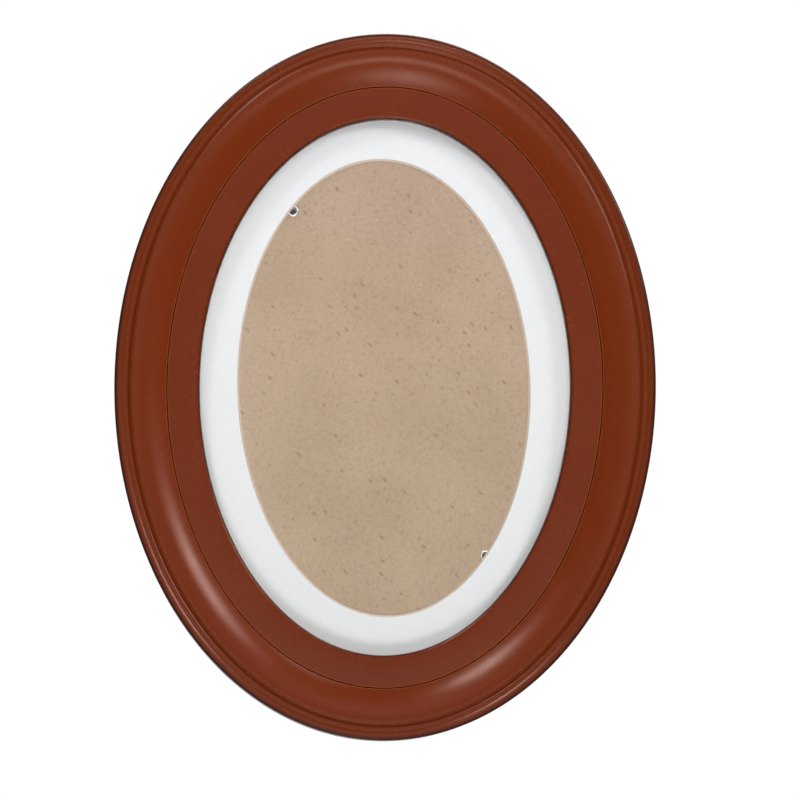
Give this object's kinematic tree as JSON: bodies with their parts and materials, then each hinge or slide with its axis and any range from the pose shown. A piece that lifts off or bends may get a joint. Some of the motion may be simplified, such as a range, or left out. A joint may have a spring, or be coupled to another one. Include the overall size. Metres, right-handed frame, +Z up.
{
  "type": "oval picture frame",
  "caption": "Oval hanging picture frame with a stepped and rolled wood-look moulding, glass, white mat with an oval window, fibreboard back, turn tabs and a sawtooth hanger.",
  "frame": {"origin": "middle notch of the sawtooth hanger, behind the top of the moulding, where the nail sits", "axes": "+Z up along the oval's long axis, +Y towards the wall behind, the glass faces -Y, +X to the right seen from the front"},
  "size_m": [0.168, 0.0205, 0.22],
  "materials": {
    "lacquered_moulding": "reddish-brown semi-gloss lacquer over fibreboard",
    "clear_glass": "clear polished float glass",
    "white_mat": "white paper face with a cream core at the bevel",
    "fibreboard_back": "raw tan fibreboard with dark fibre specks",
    "zinc_steel": "bright zinc plate",
    "spring_steel": "zinc-plated stamped spring steel",
    "soft_rubber": "matt dark rubber"
  },
  "bodies": {
    "moulding": {"moulding_ring": "lacquered_moulding", "glass_pane": "clear_glass", "mat_board": "white_mat", "sawtooth_hanger": "zinc_steel", "hanger_screw_left": "zinc_steel", "hanger_screw_right": "zinc_steel", "bumper_pad_left": "soft_rubber", "bumper_pad_right": "soft_rubber"},
    "back": {"backing_board": "fibreboard_back", "tab_rivet_upper_left": "zinc_steel", "tab_rivet_upper_right": "zinc_steel", "tab_rivet_lower_left": "zinc_steel", "tab_rivet_lower_right": "zinc_steel"},
    "tab_upper_left": {"turn_tab_upper_left": "spring_steel"},
    "tab_upper_right": {"turn_tab_upper_right": "spring_steel"},
    "tab_lower_left": {"turn_tab_lower_left": "spring_steel"},
    "tab_lower_right": {"turn_tab_lower_right": "spring_steel"}
  },
  "joints": [
    {"name": "back_lift", "type": "slide", "parent": "moulding", "child": "back", "axis": [0, 1, 0], "range_m": [0, 0.03]},
    {"name": "tab_turn_upper_left", "type": "hinge", "parent": "back", "child": "tab_upper_left", "pos_m": [-0.02932, -0.00611, -0.04135], "axis": [0, 1, 0], "continuous": true},
    {"name": "tab_turn_upper_right", "type": "hinge", "parent": "back", "child": "tab_upper_right", "pos_m": [0.03148, -0.00611, -0.04161], "axis": [0, -1, 0], "continuous": true},
    {"name": "tab_turn_lower_left", "type": "hinge", "parent": "back", "child": "tab_lower_left", "pos_m": [-0.03148, -0.00611, -0.15111], "axis": [0, -1, 0], "continuous": true},
    {"name": "tab_turn_lower_right", "type": "hinge", "parent": "back", "child": "tab_lower_right", "pos_m": [0.03212, -0.00611, -0.1486], "axis": [0, 1, 0], "continuous": true}
  ]
}
